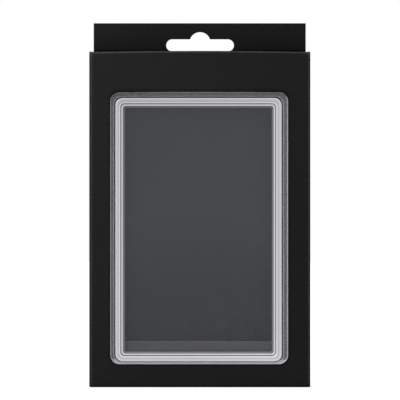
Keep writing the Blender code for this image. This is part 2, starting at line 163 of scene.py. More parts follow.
floor_corners = [(-FLOOR_HALF, FLOOR_FRONT, 0), (FLOOR_HALF, FLOOR_FRONT, 0),
                 (FLOOR_HALF, FLOOR_BACK, 0), (-FLOOR_HALF, FLOOR_BACK, 0)]
floor = lay(floor_corners, [(0, 1, 2, 3)], "floor")
floor_paper = bpy.data.materials.new("pale_floor")
floor_paper.use_nodes = True
floor.data.materials.append(floor_paper)
tree = floor_paper.node_tree
tree.nodes.clear()
ray = node(tree, "LightPath").outputs
seen = worked(tree, "MAXIMUM", ray["Is Camera Ray"], ray["Is Transmission Ray"])
mirrored = worked(tree, "MULTIPLY", ray["Is Glossy Ray"], FLOOR_MIRRORED)
place = node(tree, "TexCoord").outputs["Object"]
grain = node(tree, "TexNoise", {"Vector": place, "Scale": FLOOR_GRAIN})
tone = node(tree, "Mix", {0: grain.outputs[0], 6: FLOOR_DIM, 7: FLOOR_PALE}, data_type="RGBA")
lit = node(tree, "BsdfDiffuse", {"Color": tone.outputs[2]})
glow = worked(tree, "MAXIMUM", mirrored, worked(tree, "MULTIPLY", seen, FLOOR_GLOW))
glowing = node(tree, "Emission", {"Strength": glow})
both = node(tree, "AddShader", {0: lit.outputs[0], 1: glowing.outputs[0]})
node(tree, "OutputMaterial", {"Surface": both.outputs[0]})


# Sleeve.
# One blank of matte black coated board, die cut with the window, the hanging slot and the
# thumb notch, folded round into a tube and glued. Its back panel runs up into the header.
MM = 0.001
ARC_STEPS = 12
SIDE_STEPS = 48
BOARD = 0.6 * MM
FOLD_RADIUS = 1.0 * MM
FOLD_STEPS = 6
WALL_STEPS = 6
PLACES_KEPT = 7
WINDOW_CORNER = 5.0 * MM
WINDOW_SPAN = np.array([-49.42, 48.72]) * MM
WINDOW_RISE = np.array([12.88, 163.12]) * MM
PANEL_CORNER = 14.0 * MM
PANEL_ROWS = 10
TUBE_TOP = 185.8 * MM
TOP_BOW = 0.6 * MM
TOP_DROP = 0.55 * MM
DROP_RUN = 1.5 * FOLD_RADIUS
TOP_FADE = 4
FRONT_SWELL = 0.2 * MM
SIDE_SWELL = np.array([0.1, 0.05]) * MM
FOOT_LIFT = 0.12 * MM
FOOT_LIFT_REACH = 10.0 * MM
HEADER_HALF = 59.6 * MM
HEADER_CORNER = 2.0 * MM
HEADER_TRIM = np.array([0.13, 0.07]) * MM
SLOT_HALF = np.array([19.0, 3.38]) * MM
SLOT_SHIFT = 0.12 * MM
SLOT_MIDDLE = 190.35 * MM
BUMP_RADIUS = 5.9 * MM
BUMP_MIDDLE = 191.85 * MM
BUMP_FILLET = 0.5 * MM
THUMB_RADIUS = 10.0 * MM
CUT_ROUND = 0.12 * MM
CUT_ANGLE = radians(60)
SAME_POINT = CUT_ROUND / 10
END_ROUND = 0.9 * MM
END_STEPS = 5
# Painted highlights, partly wear: lines along the folds and below the front panel's top edge, and a
# faint pale line along the front's foot.
CREASE_WIDTH = 0.19 * MM
CREASE_OUT_LEFT = -0.05 * MM
CREASE_OUT_RIGHT = 0.05 * MM
FOLD_WEAR_AND_HIGHLIGHT = 1.0
HEAD_HIGHLIGHT = 0.75
HEAD_LINE = 0.55 * MM
HEAD_LINE_WIDTH = 0.36 * MM
# Painted shade: a dark line round the window and one along the foot, and the header darker towards
# the front panel.
WINDOW_SHADE_WIDTH = 0.5 * MM
HEADER_SHADE = [0.22, 0.48, 0.88]
HEADER_SHADE_AT = [0.0, 0.765, 0.8]
FOOT_LINE = 0.86 * MM
FOOT_LINE_WIDTH = 0.27 * MM
FOOT_PALE = 0.1
FOOT_PALE_WIDTH = 0.42 * MM
BOARD_BLACK = (0.0076, 0.0076, 0.0078, 1)
BOARD_PALE = (0.075, 0.075, 0.076, 1)
CUT_DARK = (0.002, 0.002, 0.002, 1)
CUT_FIBRE = (0.012, 0.012, 0.012, 1)
NOISE_SPAN = (0.3, 0.7)
SPECK_SPAN = (0.35, 0.8)
SPECKLING = 0.05
FIBRES_LEFT = 0.3
FIBRE_BUMP = 0.03 * MM
FIBRE_STRENGTH = 0.35
PALE_EDGE_SHARE = 0.95
ROUGHNESS_CHANGE = (-0.04, 0.05)
# Painted shade takes the board's tone and gloss down to these.
SHADE_TONE = 0.15
BOARD_GLOSS = 0.1
SHADE_GLOSS = 0.015
# Painted light: the board's tone lighter to the left and the top, darker to the right and the foot.
BOARD_LIGHT_SPAN = {0: (-0.061, 0.061, 1.24, 0.82), 2: (0.0, 0.186, 0.77, 1.33)}


def extent(name):
    """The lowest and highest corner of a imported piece, as arrays in metres."""
    return tuple(np.array(corner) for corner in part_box(name))


def points_at(x, y, z):
    """Points (x, y, z) in rows and columns, where each of the three may be one value for a
    whole row or column."""
    return np.stack(np.broadcast_arrays(x, y, z), axis=-1)


def near(distance, width):
    """A share that is 1 at no distance and falls off as the bell curve exp(-(d / width)^2)."""
    return np.exp(-(distance / width) ** 2)


def rows_of(piece, what):
    """The places (co) or the outward directions (normal) of a piece's points, one to a row."""
    values = np.empty(len(piece.data.vertices) * 3)
    piece.data.vertices.foreach_get(what, values)
    return values.reshape(-1, 3)


def mark(piece, name, share):
    """Writes the share of each of a piece's points into the attribute that a material reads."""
    share = np.ravel(share).astype(np.float32)
    piece.data.attributes.new(name, "FLOAT", "POINT").data.foreach_set("value", share)


def outlines(half_x, half_z, corner, squareness=0.0, side_steps=SIDE_STEPS):
    """Rectangles with rounded corners, one for each entry of the arrays, as (row, point, xz),
    anticlockwise from the foot of the top right corner. A corner is the quarter circle
    (cos a, sin a) or, at squareness 1, the two straight lines that meet there, and the sides
    between are divided evenly."""
    half_x, half_z, corner = np.broadcast_arrays(*np.atleast_1d(half_x, half_z, corner))
    share = np.linspace(0, 1, ARC_STEPS + 1)
    circle = np.column_stack([np.cos(share * pi / 2), np.sin(share * pi / 2)])
    square = np.clip(np.column_stack([2 - 2 * share, 2 * share]), 0, 1)
    quarter = circle + squareness * (square - circle)
    hub = np.stack([half_x - corner, half_z - corner], axis=-1)[:, None]
    first = hub + corner[:, None, None] * quarter
    left, low = np.array([-1, 1]), np.array([1, -1])
    turns = [first, (first * left)[:, ::-1], -first, (first * low)[:, ::-1]]
    corners = np.stack(turns, axis=1)
    after = np.roll(corners[:, :, 0], -1, axis=1)
    sides = np.linspace(corners[:, :, -1], after, side_steps + 1, axis=2)[:, :, 1:-1]
    return np.concatenate([corners, sides], axis=2).reshape(len(first), -1, 2)


def grid_faces(rows, columns, first=0, round_it=False):
    """Quads between the rows of a grid of points counted from first. With round_it the last
    column joins the first. A face looks along (next column) x (next row)."""
    index = np.arange(rows * columns).reshape(rows, columns) + first
    if round_it:
        index = np.column_stack([index, index[:, :1]])
    quads = [index[:-1, :-1], index[:-1, 1:], index[1:, 1:], index[1:, :-1]]
    return np.stack(quads, axis=-1).reshape(-1, 4)


def stitched(patches, name):
    """Joins patches, each (grid of points, round_it), into one mesh: points of two patches at
    the same place become one, and faces with no area go."""
    points, faces, first = [], [], 0
    for grid, round_it in patches:
        rows, columns = grid.shape[:2]
        points.append(grid.reshape(-1, 3))
        faces.extend(grid_faces(rows, columns, first, round_it).tolist())
        first += rows * columns
    made = lay(np.concatenate(points), faces, name)
    work = bmesh.new()
    work.from_mesh(made.data)
    bmesh.ops.remove_doubles(work, verts=work.verts, dist=SAME_POINT)
    bmesh.ops.dissolve_degenerate(work, edges=work.edges, dist=SAME_POINT)
    work.to_mesh(made.data)
    work.free()
    made.data.shade_smooth()
    made.data.set_sharp_from_angle(angle=SMOOTH_ANGLE)
    return made


def folded(around, height):
    """Carries points of the flat blank round the tube. around is the distance from the middle
    of the front panel: straight to the fold, a quarter circle, straight down the side, a
    quarter circle, and back along the rear panel. height stays as it is."""
    half, depth = extent("sleeve")[1][:2]
    turn = np.linspace(0, pi / 2, FOLD_STEPS + 1)
    bend_x = half - FOLD_RADIUS + FOLD_RADIUS * np.sin(turn)
    bend_y = depth - FOLD_RADIUS + FOLD_RADIUS * np.cos(turn)
    path_x = np.concatenate([[0], bend_x, bend_x[::-1], [0]])
    path_y = np.concatenate([[-depth], -bend_y, bend_y[::-1], [depth]])
    run = np.concatenate([[0], np.cumsum(np.hypot(np.diff(path_x), np.diff(path_y)))])
    x = np.sign(around) * np.interp(np.abs(around), run, path_x)
    y = np.interp(np.abs(around), run, path_y)
    return points_at(x, y, height), run


def between(first, last, steps):
    """Rows that go straight from one outline to the other, (1 - t) first + t last, with t =
    (1 - cos a) / 2, so that they lie closer together near both."""
    share = ((1 - np.cos(np.linspace(0, pi, steps + 1))) / 2)[:, None, None]
    return (1 - share) * first + share * last


# The front panel with its window, the strips at its ends and the side walls.
sleeve_high = extent("sleeve")[1]
panel_half = sleeve_high[0] - FOLD_RADIUS
window_middle = np.array([WINDOW_SPAN.mean(), WINDOW_RISE.mean()])
window_half = np.array([np.ptp(WINDOW_SPAN), np.ptp(WINDOW_RISE)]) / 2
window_edge = outlines(*window_half, WINDOW_CORNER)[0] + window_middle
panel_edge = outlines(panel_half, TUBE_TOP / 2 - END_ROUND, PANEL_CORNER, 1.0)[0] + [0, TUBE_TOP / 2]
front_rows = between(window_edge, panel_edge, PANEL_ROWS)[::-1]
front, run = folded(front_rows[..., 0], front_rows[..., 1])
end_drop = np.linspace(0, END_ROUND, END_STEPS)
panel_rise = panel_edge[np.isclose(panel_edge[:, 0], panel_half), 1]
panel_rise = np.unique(np.concatenate([end_drop, panel_rise, TUBE_TOP - end_drop]).round(PLACES_KEPT))
panel_across = np.unique(panel_edge[np.isclose(panel_edge[:, 1], END_ROUND), 0].round(PLACES_KEPT))
foot_strip = folded(*np.meshgrid(panel_across, end_drop))[0]
head_strip = folded(*np.meshgrid(panel_across, TUBE_TOP - end_drop[::-1]))[0]

wall_run = np.concatenate([
    run[1:FOLD_STEPS + 2],
    np.linspace(run[FOLD_STEPS + 1], run[FOLD_STEPS + 2], WALL_STEPS + 1)[1:-1],
    run[FOLD_STEPS + 2:2 * FOLD_STEPS + 3],
])
wall_run_grid, wall_rise_grid = np.meshgrid(wall_run, panel_rise)
right_wall = folded(wall_run_grid, wall_rise_grid)[0]
left_wall = folded(-wall_run_grid, wall_rise_grid)[0][:, ::-1]

# The header with its slot, whose top has a round bump in the middle.
header_half_z = (sleeve_high[2] - TUBE_TOP) / 2
header_edge = outlines(HEADER_HALF, header_half_z, HEADER_CORNER, 1.0)[0]
far_side = header_edge > np.array([HEADER_HALF, header_half_z]) - HEADER_CORNER / 2
header_edge -= HEADER_TRIM * far_side
slot_edge = outlines(*SLOT_HALF, SLOT_HALF[1])[0] + [0, SLOT_MIDDLE - TUBE_TOP - header_half_z]
bump_up = BUMP_MIDDLE - TUBE_TOP - header_half_z
slot_top = SLOT_HALF[1] + SLOT_MIDDLE - TUBE_TOP - header_half_z
bump_foot = np.arcsin((slot_top - bump_up) / BUMP_RADIUS)
quarter = ARC_STEPS + SIDE_STEPS
top_side = slice(ARC_STEPS + 1, quarter)
bottom_side = slice(2 * quarter + ARC_STEPS + 1, 3 * quarter)
curve_steps = SIDE_STEPS - 1 - 2 * ARC_STEPS
bump_turn = np.linspace(bump_foot, pi - bump_foot, curve_steps)
bump_arc = BUMP_RADIUS * np.column_stack([np.cos(bump_turn), np.sin(bump_turn)]) + [0, bump_up]
bump_start = [bump_arc[0, 0] + BUMP_FILLET, slot_top]
run_in = np.linspace(slot_edge[ARC_STEPS], bump_start, ARC_STEPS + 1)[1:]
slot_edge[top_side] = np.concatenate([run_in, bump_arc, (run_in * [-1, 1])[::-1]])
slot_edge[:, 0] += SLOT_SHIFT

# The back panel, whose foot has the thumb notch. The header's foot takes the same places
# across, so that the two panels join.
thumb_turn = np.linspace(pi, 0, curve_steps)
thumb_x = THUMB_RADIUS * np.cos(thumb_turn)
thumb_in = np.linspace(header_edge[bottom_side.start - 1, 0], -THUMB_RADIUS, ARC_STEPS + 2)[1:-1]
header_edge[bottom_side, 0] = np.concatenate([thumb_in, thumb_x, -thumb_in[::-1]])
header_rows = between(slot_edge, header_edge, PANEL_ROWS)
header_rise = header_rows[..., 1] + TUBE_TOP + header_half_z
header = points_at(header_rows[..., 0], sleeve_high[1], header_rise)

foot_x = np.unique(header_edge[np.isclose(header_edge[:, 1], -header_half_z), 0].round(PLACES_KEPT))
back_x = np.concatenate([[-panel_half], foot_x, [panel_half]])
back_foot = np.sqrt(np.clip(THUMB_RADIUS ** 2 - back_x ** 2, 0, None))
back_share = (panel_rise / TUBE_TOP)[:, None]
back_z = back_foot + back_share * (TUBE_TOP - back_foot)
back = points_at(back_x, sleeve_high[1], back_z)

sleeve = stitched([(front, True), (foot_strip, False), (head_strip, False), (right_wall, False),
                   (left_wall, False), (back[:, ::-1], False), (header, True)], "sleeve_board")

# The cut ends turn in a little. The front panel's top bows up in the middle and drops at the
# folds, its foot lifts, and the front and the sides swell.
places, outward = rows_of(sleeve, "co"), rows_of(sleeve, "normal")
over_fold = np.clip(1 - (sleeve_high[1] + places[:, 1]) / DROP_RUN, 0, 1)
from_end = np.minimum(places[:, 2], np.abs(TUBE_TOP - places[:, 2]))
turned_in = np.clip(END_ROUND - from_end, 0, None) * (places[:, 1] < sleeve_high[1] - FOLD_RADIUS)
drop = END_ROUND - np.sqrt(END_ROUND ** 2 - turned_in ** 2)
places[:, :2] -= drop[:, None] * outward[:, :2]
forward = places[:, 1] < -sleeve_high[1] + FOLD_RADIUS
arch = np.clip(1 - (places[:, 0] / sleeve_high[0]) ** 2, 0, 1)
beside_head = np.abs(TUBE_TOP - places[:, 2] - HEAD_LINE) + (places[:, 1] > 0)
top_shift = TOP_BOW * forward * arch - TOP_DROP * over_fold
places[:, 2] += top_shift * np.clip(places[:, 2] / TUBE_TOP, 0, 1) ** TOP_FADE
places[:, 2] += FOOT_LIFT * forward * np.clip(1 - places[:, 2] / FOOT_LIFT_REACH, 0, 1)
places[:, 1] -= FRONT_SWELL * forward * arch
on_side = np.clip((np.abs(places[:, 0]) - panel_half) / FOLD_RADIUS, 0, 1)
places[:, 0] += on_side * np.where(places[:, 0] > 0, SIDE_SWELL[1], -SIDE_SWELL[0])
sleeve.data.vertices.foreach_set("co", places.ravel())

# Painted highlights, partly rubbed wear, lie along the folds and below the front panel's top
# edge, with a faint pale line at the foot. Painted shade lies round the window, along the
# foot, and on the header, growing towards the front panel.
crease = panel_half + np.where(places[:, 0] > 0, CREASE_OUT_RIGHT, CREASE_OUT_LEFT)
beside_fold = np.hypot(np.abs(places[:, 0]) - crease, np.abs(places[:, 1]) - sleeve_high[1])
head_highlight = HEAD_HIGHLIGHT * near(beside_head, HEAD_LINE_WIDTH)
foot_pale = FOOT_PALE * near(places[:, 2], FOOT_PALE_WIDTH) * forward
wear_and_highlight_share = np.maximum(FOLD_WEAR_AND_HIGHLIGHT * near(beside_fold, CREASE_WIDTH), head_highlight + foot_pale)
across = np.abs(places[:, [0, 2]] - window_middle) - window_half + WINDOW_CORNER
past_corner, within = np.hypot(*np.clip(across, 0, None).T), np.minimum(across.max(axis=1), 0)
beside_window = past_corner + within - WINDOW_CORNER
window_shade = near(np.clip(beside_window, 0, None), WINDOW_SHADE_WIDTH) * forward
header_depth = np.clip((sleeve_high[2] - places[:, 2]) / (sleeve_high[2] - TUBE_TOP), 0, 1)
shade = np.interp(header_depth ** 2, HEADER_SHADE_AT, HEADER_SHADE) * (places[:, 2] > TUBE_TOP)
foot_shade = near(places[:, 2] - FOOT_LINE, FOOT_LINE_WIDTH) * forward
mark(sleeve, "wear_and_highlight", wear_and_highlight_share)
mark(sleeve, "painted_shade", np.maximum(np.maximum(window_shade, shade), foot_shade))


def faded(tree, value, place, spans):
    """The value times a straight ramp along each axis that spans names: the axis number gives
    where the ramp starts and ends, and its level at both."""
    axes = node(tree, "SeparateXYZ", {0: place}).outputs
    for axis, ends in spans.items():
        value = worked(tree, "MULTIPLY", value, spread(tree, axes[axis], *ends, "LINEAR"))
    return value


def board_finish(name, dark, pale, roughness, grain, clouds=22.0, clouding=0.02, spans=None):
    """Coated board: fibres of the scale grain in colour and bump, clouds that mottle the
    roughness and, by the share clouding, the colour, and the pale core on rubbed edges and on
    painted highlights where a point attribute marks them. A second point attribute takes tone
    and gloss away as painted shade, on the lines round the window and at the foot and on the
    header. spans gives the straight ramps of the tone, painted light lighter to one side."""
    made = bpy.data.materials.new(name)
    made.use_nodes = True
    tree = made.node_tree
    place = node(tree, "TexCoord").outputs["Object"]
    fibres = node(tree, "TexNoise", {"Vector": place, "Scale": grain, "Detail": 4.0}).outputs[0]
    mottle = node(tree, "TexNoise", {"Vector": place, "Scale": clouds, "Detail": 3.0}).outputs[0]
    wear_and_highlight = node(tree, "Attribute", attribute_name="wear_and_highlight").outputs["Fac"]
    pale_edges = worked(tree, "MULTIPLY", wear_and_highlight, spread(tree, fibres, *NOISE_SPAN, FIBRES_LEFT, 1.0))
    pale_edges = worked(tree, "MULTIPLY", pale_edges, PALE_EDGE_SHARE)
    speck = spread(tree, fibres, *SPECK_SPAN, 0.0, SPECKLING)
    cloud = spread(tree, mottle, *NOISE_SPAN, 0.0, clouding)
    share = worked(tree, "ADD", worked(tree, "ADD", speck, cloud), pale_edges)
    tone = node(tree, "Mix", {0: share, 6: dark, 7: pale}, data_type="RGBA").outputs[2]
    painted_shade = node(tree, "Attribute", attribute_name="painted_shade").outputs["Fac"]
    level = spread(tree, painted_shade, 0.0, 1.0, 1.0, SHADE_TONE, "LINEAR")
    level = faded(tree, level, place, spans or {})
    tone = node(tree, "VectorMath", {0: tone, "Scale": level}, operation="SCALE").outputs[0]
    bump = {"Height": fibres, "Distance": FIBRE_BUMP, "Strength": FIBRE_STRENGTH}
    gloss = spread(tree, painted_shade, 0.0, 1.0, BOARD_GLOSS, SHADE_GLOSS, "LINEAR")
    limits = [roughness + change for change in ROUGHNESS_CHANGE]
    shader = tree.nodes["Principled BSDF"]
    tree.links.new(tone, shader.inputs["Base Color"])
    tree.links.new(spread(tree, mottle, *NOISE_SPAN, *limits), shader.inputs["Roughness"])
    tree.links.new(node(tree, "Bump", bump).outputs[0], shader.inputs["Normal"])
    tree.links.new(gloss, shader.inputs["Specular IOR Level"])
    return made


def thicken(piece, thickness, inside=0):
    """Gives a sheet its thickness, away from its faces' front, and a small round on its cut
    edges, whose faces take the piece's second material. The inside takes the material that
    many places down its list."""
    wall = piece.modifiers.new("thickness", "SOLIDIFY")
    wall.thickness = thickness
    wall.offset = -1
    wall.material_offset = inside
    wall.material_offset_rim = 1
    edge = piece.modifiers.new("cut edges", "BEVEL")
    edge.width = CUT_ROUND
    edge.segments = 2
    edge.angle_limit = CUT_ANGLE


board = board_finish("matte_black_board", BOARD_BLACK, BOARD_PALE,
                     roughness=0.5, grain=1500.0, spans=BOARD_LIGHT_SPAN)
board_cut = board_finish("board_cut_edge", CUT_DARK, CUT_FIBRE, roughness=0.75, grain=3000.0)
sleeve.data.materials.append(board)
sleeve.data.materials.append(board_cut)
thicken(sleeve, BOARD)
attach(sleeve, "sleeve")
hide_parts("sleeve")


# Drawer.
# A shallow tray of the same board, folded up at its four sides, that slides in the sleeve and
# carries the clear tray on its rims.
DRAWER_CORNER = 0.9 * MM
EASE_STEPS = 5
LEAST_SIDE = 1e-12
LEAST_STEP = 1e-7


def eased(corners, closed=False):
    """Rounds the corners of a profile given as (inset, depth, ease) in millimetres. The point P
    between A and B becomes the curve (1-t)^2 A' + 2t(1-t) P + t^2 B', where A' and B' lie ease
    from P along its two sides, and never past their middles. Repeated points are dropped."""
    corners = np.asarray(corners, float) * MM
    path, ease = corners[:, :2], corners[:, 2:]
    before, after = np.roll(path, 1, axis=0), np.roll(path, -1, axis=0)
    if not closed:
        before[0], after[-1] = path[0], path[-1]
    ends = []
    for other in (before, after):
        side = other - path
        length = np.linalg.norm(side, axis=1, keepdims=True) + LEAST_SIDE
        ends.append(path + side * np.minimum(ease / length, 0.5))
    t = np.linspace(0, 1, EASE_STEPS)[:, None, None]
    curve = (1 - t) ** 2 * ends[0] + 2 * t * (1 - t) * path + t ** 2 * ends[1]
    curve = curve.transpose(1, 0, 2).reshape(-1, 2)
    step = np.linalg.norm(np.diff(curve, axis=0, prepend=curve[-1:] + 1), axis=1)
    return curve[step > LEAST_STEP]


def lengths(path):
    """The distance along a path at each of its points."""
    return np.concatenate([[0], np.cumsum(np.linalg.norm(np.diff(path, axis=0), axis=1))])


def lofted(profile, middle, half, corner, name, closed=False, side_steps=1):
    """Carries a rounded rectangle through a profile of (inset, depth): at each step its half
    sides are half - inset about middle, which may change from step to step, and corner gives
    its radius. The faces look outwards when the profile runs from the back, round the
    outside, over the front and inwards. An open one is closed by a flat face at each end, and
    the corner coordinates are metres round and across."""
    inset, depth = profile[:, :1], profile[:, 1:]
    middle = np.broadcast_to(middle, (len(profile), 2))
    sides = np.broadcast_to(half, (len(profile), 2)) - inset
    flat = outlines(*sides.T, corner, side_steps=side_steps) + middle[:, None]
    points = points_at(flat[..., 0], depth, flat[..., 1]).reshape(-1, 3)
    columns = flat.shape[1]
    trip = np.concatenate([profile, profile[:1]]) if closed else profile
    along, across = lengths(np.concatenate([flat[0], flat[0, :1]])), lengths(trip)
    faces = (grid_faces(len(trip), columns, 0, True) % len(points)).tolist()
    i, j = np.divmod(np.arange(len(faces)), columns)
    uv = np.stack([along[[j, j + 1, j + 1, j]], across[[i, i, i + 1, i + 1]]], axis=-1)
    uv = uv.transpose(1, 0, 2).reshape(-1, 2)
    if not closed:
        faces += [list(range(columns))[::-1], list(range(len(points) - columns, len(points)))]
        uv = np.concatenate([uv, flat[0][::-1], flat[-1]])
    return lay(points, faces, name, uv)


def centre_of(low, high):
    """The middle and the half sides of a piece's box, across and up."""
    return (low[[0, 2]] + high[[0, 2]]) / 2, (high[[0, 2]] - low[[0, 2]]) / 2


low, high = extent("drawer")
middle, half = centre_of(low, high)
front_y, back_y = low[1] / MM, high[1] / MM
board_mm = BOARD / MM
drawer_profile = eased([
    (0.8, back_y, 0),
    (0, back_y, 0.5),
    (0, front_y, 0.12),
    (board_mm, front_y, 0.12),
    (board_mm, back_y - board_mm, 0.4),
    (board_mm + 1, back_y - board_mm, 0),
])
drawer_corner = np.maximum(DRAWER_CORNER - drawer_profile[:, 0], CUT_ROUND)
drawer = lofted(drawer_profile, middle, half, drawer_corner, "drawer_board")
drawer.data.materials.append(board_finish("drawer_board_black", BOARD_BLACK, BOARD_PALE,
                                          roughness=0.62, grain=1200.0))
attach(drawer, "drawer")
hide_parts("drawer")


# Clear tray.
# One thin clear sheet, drawn over a mould: a flat rim glued to the drawer, a rounded bead
# behind the window's edge, a narrow shelf, and a deep pocket that holds the closed protector.
TRAY_SHEET = 0.4 * MM
TRAY_MARGIN = 5.0
TRAY_PLAY = 0.2 * MM
TRAY_LIFT = 0.1 * MM
TRAY_RIM = -7.1
TRAY_SHELF = -6.9
TRAY_FLOOR = 6.2
RING = 2.5
# Whitened lines at the bead and the pocket's edge: partly stress whitening, partly painted highlight.
# They are weaker under the window's top edge as painted shade, and the ring's foot is whitened as
# painted highlight.
BEND_WHITE_AND_GLINT = {0.18: 1.0, RING - 0.6: 0.5, RING + 0.05: 0.2}
BEND_WIDTH = 0.22
RING_HEAD_SHADE = 0.4
HEAD_FADE = np.array([6.0, 2.0]) * MM
RING_FOOT_HIGHLIGHT = 0.85
FOOT_FADE = np.array([1.5, 3.0]) * MM
TRAY_POCKET_CORNER = 4.2 * MM
CORNER_CHANGE = 3.0 * MM
TRAY_TINT = (0.92, 0.92, 0.975, 1)
GLINT_TINT = (0.95, 0.975, 1, 1)
PLASTIC_IOR = 1.47
RIPPLE = 0.005 * MM
HAZE_SCALE = 35.0
HAZE_SPAN = (0.35, 0.75)
HAZE_ROUGHNESS = 0.03


def clear_finish(name, tint, clearness, roughness, ripple_scale, milky=0.0):
    """A clear plastic that lets lamps through: refracting to the eye, plain transparent to
    shadow rays, with slow ripples in its surface and slight haze. Where its point attribute
    says, it is whitened by the share milky: stress whitening where the sheet was drawn sharply,
    painted highlight on the ring and painted shade under the window's top edge."""
    made = bpy.data.materials.new(name)
    made.use_nodes = True
    tree = made.node_tree
    place = node(tree, "TexCoord").outputs["Object"]
    wave = node(tree, "TexNoise", {"Vector": place, "Scale": ripple_scale, "Detail": 2.0}).outputs[0]
    haze = node(tree, "TexNoise", {"Vector": place, "Scale": HAZE_SCALE, "Detail": 3.0}).outputs[0]
    rough = spread(tree, haze, *HAZE_SPAN, roughness, roughness + HAZE_ROUGHNESS)
    bump = node(tree, "Bump", {"Height": wave, "Distance": RIPPLE, "Strength": 1.0})
    shader = tree.nodes["Principled BSDF"]
    shader.inputs["Base Color"].default_value = tint
    shader.inputs["Transmission Weight"].default_value = clearness
    if milky:
        whitening_and_highlight = node(tree, "Attribute", attribute_name="whitening_and_highlight").outputs["Fac"]
        clear = spread(tree, whitening_and_highlight, 0.0, 1.0, clearness, clearness - milky, "LINEAR")
        tree.links.new(clear, shader.inputs["Transmission Weight"])
    shader.inputs["IOR"].default_value = PLASTIC_IOR
    shader.inputs["Specular Tint"].default_value = GLINT_TINT
    tree.links.new(rough, shader.inputs["Roughness"])
    tree.links.new(bump.outputs[0], shader.inputs["Normal"])
    through = node(tree, "BsdfTransparent", {"Color": tint})
    shadow = node(tree, "LightPath").outputs["Is Shadow Ray"]
    mixed = node(tree, "MixShader", {0: shadow, 1: shader.outputs[0], 2: through.outputs[0]})
    tree.links.new(mixed.outputs[0], tree.nodes["Material Output"].inputs["Surface"])
    return made


low, high = extent("clear_tray")
case_low, case_high = extent("rear_frame")
case_middle, case_half = centre_of(case_low, case_high)
crown = low[1] / MM
tray_rows = eased([
    (-TRAY_MARGIN, TRAY_RIM, 0),
    (-3.2, TRAY_RIM, 0.5),
    (-2.5, crown, 0.5),
    (0, crown, 0.35),
    (0.5, TRAY_SHELF - 0.2, 0.25),
    (0.75, TRAY_SHELF, 0.2),
    (RING - 0.85, TRAY_SHELF, 0.2),
    (RING - 0.55, TRAY_SHELF - 0.3, 0.2),
    (RING - 0.2, TRAY_SHELF - 0.2, 0.2),
    (RING, TRAY_SHELF + 0.8, 0.3),
    (RING + 0.06, TRAY_FLOOR, 0.7),
    (RING + 6.3, TRAY_FLOOR, 0.3),
    (RING + 6.9, TRAY_FLOOR + 0.6, 0.3),
    (RING + 10.0, TRAY_FLOOR + 0.6, 0),
])
run_in, ring = tray_rows[:, 0], RING * MM
share = np.clip(run_in / ring, 0, 1)
inset = np.where(run_in < 0, run_in, np.clip(run_in - ring, 0, None))
tray_middle = window_middle + share[:, None] * (case_middle + [0, TRAY_LIFT] - window_middle)
tray_half = window_half + share[:, None] * (case_half + TRAY_PLAY - window_half)
tray_corner = WINDOW_CORNER + share * (TRAY_POCKET_CORNER - WINDOW_CORNER)
tray_corner -= np.clip(inset, -CORNER_CHANGE, CORNER_CHANGE)
tray_profile = np.column_stack([inset, tray_rows[:, 1]])
tray = lofted(tray_profile, tray_middle, tray_half, tray_corner, "clear_tray_sheet", side_steps=4)
# Whitening at the bends, with painted highlight on the lines and the ring's foot and painted shade
# under the window's top edge.
whitening_and_highlight = sum(white * near(run_in / MM - at, BEND_WIDTH) for at, white in BEND_WHITE_AND_GLINT.items())
height = rows_of(tray, "co").reshape(len(tray_rows), -1, 3)[..., 2]
head_shade_share = np.interp(height, WINDOW_RISE[1] - HEAD_FADE, [1, RING_HEAD_SHADE])
foot_highlight_share = np.interp(height, WINDOW_RISE[0] + FOOT_FADE, [RING_FOOT_HIGHLIGHT, 0])
in_ring = ((share > 0) & (share < 1))[:, None]
mark(tray, "whitening_and_highlight", np.clip(whitening_and_highlight[:, None] * head_shade_share + foot_highlight_share * in_ring, 0, 1))

# The loft ends with its two flat end faces. The one across the rim goes, and the other one
# stays as the pocket's floor.
work = bmesh.new()
work.from_mesh(tray.data)
work.faces.ensure_lookup_table()
bmesh.ops.delete(work, geom=[work.faces[-2]], context="FACES_ONLY")
work.to_mesh(tray.data)
work.free()
tray.data.materials.append(clear_finish("clear_drawn_sheet", TRAY_TINT, clearness=0.94,
                                        roughness=0.04, ripple_scale=60.0, milky=0.62))
wall = tray.modifiers.new("thickness", "SOLIDIFY")
wall.thickness = TRAY_SHEET
wall.offset = -1
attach(tray, "drawer")
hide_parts("clear_tray")


# Frame halves.
# Two moulded rings of silver-coloured plastic. The face has a rounded edge, a dished land, a
# narrow groove, a ridge and a slope down to the opening. A lip behind it holds the pane, and
# the meeting faces have holes for the magnets and a nail notch at head and foot.
FRAME_CORNER = 4.2 * MM
OPENING_CORNER = 0.8 * MM
OPENING_INSET = 5.55 * MM
PLATED_INSET = 4.46 * MM
FRAME_TALLER = 0.2 * MM
RIM_SHIFT = np.array([0.07, 0.0]) * MM
RIDGE_SHIFT = np.array([-0.03, -0.045]) * MM
RIDGE_LOWER = np.array([0.0, 0.09]) * MM
HOLE_PLAY = 0.15 * MM
HOLE_CORNER_SHARE = 0.48
NOTCH_HALF = 7.0 * MM
NOTCH_DEPTH = 0.6 * MM
NOTCH_INSET = 0.9 * MM
NOTCH_ROUND = 0.15 * MM
GROOVE_SPAN = np.array([3.15, 3.6]) * MM
GROOVE_SKIN = 0.12 * MM
RIDGE_FROM = 2.15 * MM
FACE_DEPTH = 1.0 * MM
